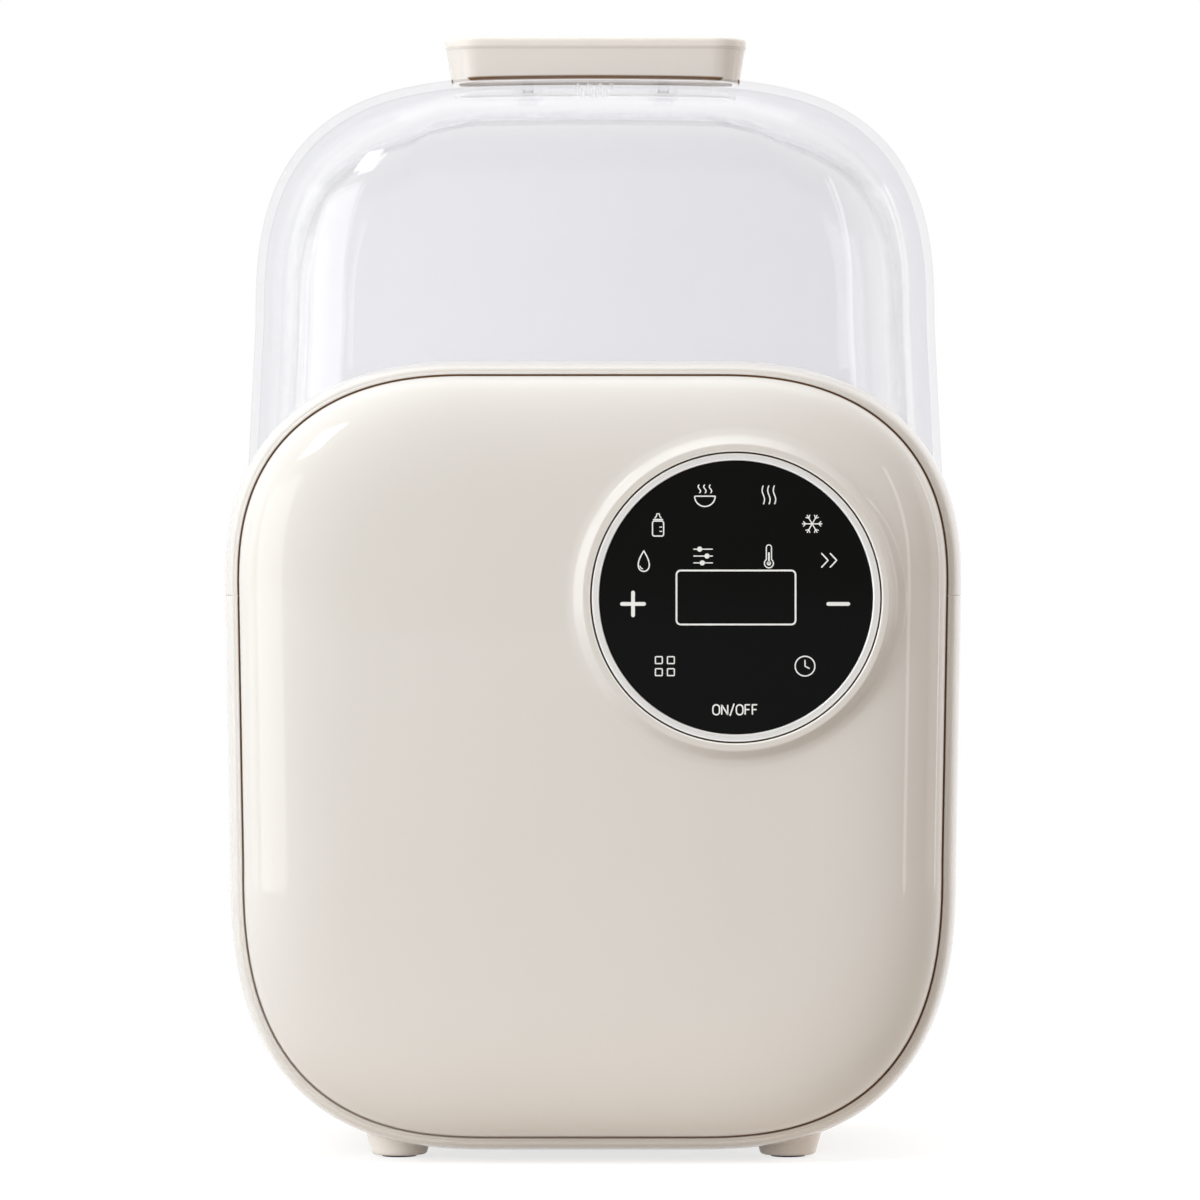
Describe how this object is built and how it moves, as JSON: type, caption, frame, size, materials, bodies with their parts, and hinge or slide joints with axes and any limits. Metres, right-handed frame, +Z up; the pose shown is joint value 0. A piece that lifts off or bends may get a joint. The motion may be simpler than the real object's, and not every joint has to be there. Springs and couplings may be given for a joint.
{
  "type": "bottle warmer sterilizer",
  "caption": "Countertop bottle warmer and steam sterilizer: pillow front with a round touch dial, clear lift-off lid over a heated water tub, and a lift-out bottle basket.",
  "frame": {"origin": "on the table under the middle of the part's box", "axes": "+Z up, -Y out of the front panel, +X to the right of someone facing the front panel"},
  "size_m": [0.2096, 0.165, 0.3242],
  "materials": {
    "cream_gloss": "glossy moulded plastic",
    "cream_matte": "satin moulded plastic",
    "pad_rubber": "soft matt rubber",
    "ring_silver": "satin silver plating",
    "panel_black": "polished black",
    "white_plastic": "plain moulded plastic",
    "contact_rubber": "conductive foam rubber",
    "board_green": "solder mask",
    "board_brown": "bare laminate",
    "screw_steel": "zinc plated",
    "black_plastic": "black moulding",
    "ribbon_grey": "flat cable",
    "transformer_tape": "yellow tape",
    "relay_blue": "blue moulding",
    "terminal_green": "green moulding",
    "pin_brass": "plain brass",
    "lead_brown": "insulated lead",
    "lead_red": "silicone insulated lead",
    "tub_grey": "satin moulded plastic",
    "plate_steel": "circular brushed plate",
    "seal_silicone": "silicone",
    "element_steel": "plain sheet and tube",
    "fuse_ceramic": "sleeved",
    "lid_clear": "clear moulded plastic",
    "washer_silicone": "clear silicone"
  },
  "bodies": {
    "base": {"front_cover": "cream_gloss", "upper_back_cover": "cream_gloss", "base_housing": "cream_gloss", "bottom_cover": "cream_matte", "feet": "cream_matte", "foot_pads": "pad_rubber", "dial_ring": "ring_silver", "touch_panel": "panel_black", "display_module": "white_plastic", "touch_contacts": "contact_rubber", "touch_board": "board_green", "touch_board_screws": "screw_steel", "buzzer": "black_plastic", "ribbon_cable": "ribbon_grey", "power_board": "board_brown", "power_transformer": "transformer_tape", "power_relay": "relay_blue", "power_capacitor": "black_plastic", "terminal_block": "terminal_green", "power_board_screws": "screw_steel", "mains_inlet": "black_plastic", "inlet_pins": "pin_brass", "mains_leads": "lead_brown", "heater_leads": "lead_red", "inner_tub": "tub_grey", "tub_screws": "screw_steel", "heating_plate": "plate_steel", "plate_seal": "seal_silicone", "heating_element": "element_steel", "heater_retainer": "element_steel", "heater_screws": "screw_steel", "thermostat": "black_plastic", "thermal_fuse": "fuse_ceramic", "temperature_sensor": "pin_brass", "cover_screws": "screw_steel", "bottom_screws": "screw_steel"},
    "lid": {"lid_dome": "lid_clear", "lid_handle": "cream_gloss", "handle_screws": "screw_steel", "handle_washers": "washer_silicone"},
    "basket": {"bottle_basket": "white_plastic"}
  },
  "joints": [
    {"name": "lid_lift", "type": "slide", "parent": "base", "child": "lid", "axis": [0, 0, 1], "range_m": [0, 0.24]},
    {"name": "basket_lift", "type": "slide", "parent": "base", "child": "basket", "axis": [0, 0, 1], "range_m": [0, 0.1]}
  ]
}
